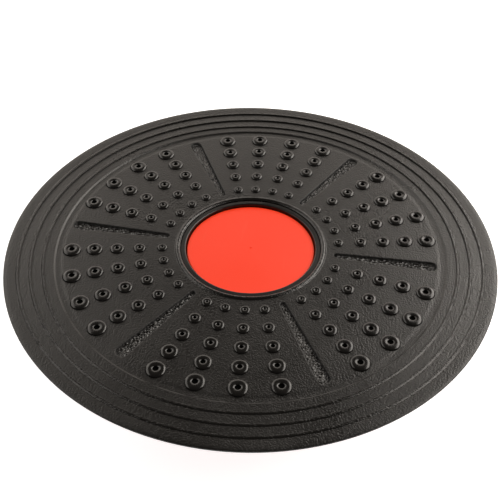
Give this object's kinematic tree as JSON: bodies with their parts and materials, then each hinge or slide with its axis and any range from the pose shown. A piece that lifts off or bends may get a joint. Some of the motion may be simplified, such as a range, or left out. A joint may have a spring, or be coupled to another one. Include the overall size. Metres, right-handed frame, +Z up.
{
  "type": "balance board",
  "caption": "Round wobble board: nubbed black deck on a red dome unit that turns to set its height, with a rubber foot pad.",
  "frame": {"origin": "on the floor, under the middle of the foot pad", "axes": "+Z up through the middle of the deck; a sector of nubs is centred on +Y and a slot runs along +X"},
  "size_m": [0.4, 0.4, 0.0804],
  "materials": {
    "black_deck": "black moulded plastic with a fine leather grain",
    "black_collar": "black moulded plastic",
    "red_plastic": "red moulded plastic with a fine matt texture",
    "red_dome_plastic": "red moulded plastic",
    "ring_rubber": "black rubber",
    "pad_rubber": "matt black rubber",
    "screw_steel": "zinc-plated pan-head screws"
  },
  "bodies": {
    "board": {"deck": "black_deck", "socket_collar": "black_collar", "collar_screws": "screw_steel"},
    "height_ring": {"friction_ring": "ring_rubber"},
    "dome_unit": {"centre_plug": "red_plastic", "dome_shell": "red_dome_plastic", "plug_screws": "screw_steel", "foot_pad": "pad_rubber"}
  },
  "joints": [
    {"name": "height", "type": "slide", "parent": "board", "child": "height_ring", "axis": [0, 0, -1], "range_m": [0, 0.015]},
    {"name": "dome_turn", "type": "hinge", "parent": "height_ring", "child": "dome_unit", "pos_m": [0, 0, 0], "axis": [0, 0, 1], "range_deg": [0, 90]}
  ],
  "couplings": [
    {"joint": "height", "follows": "dome_turn", "m_per_rad": 0.0095493}
  ]
}
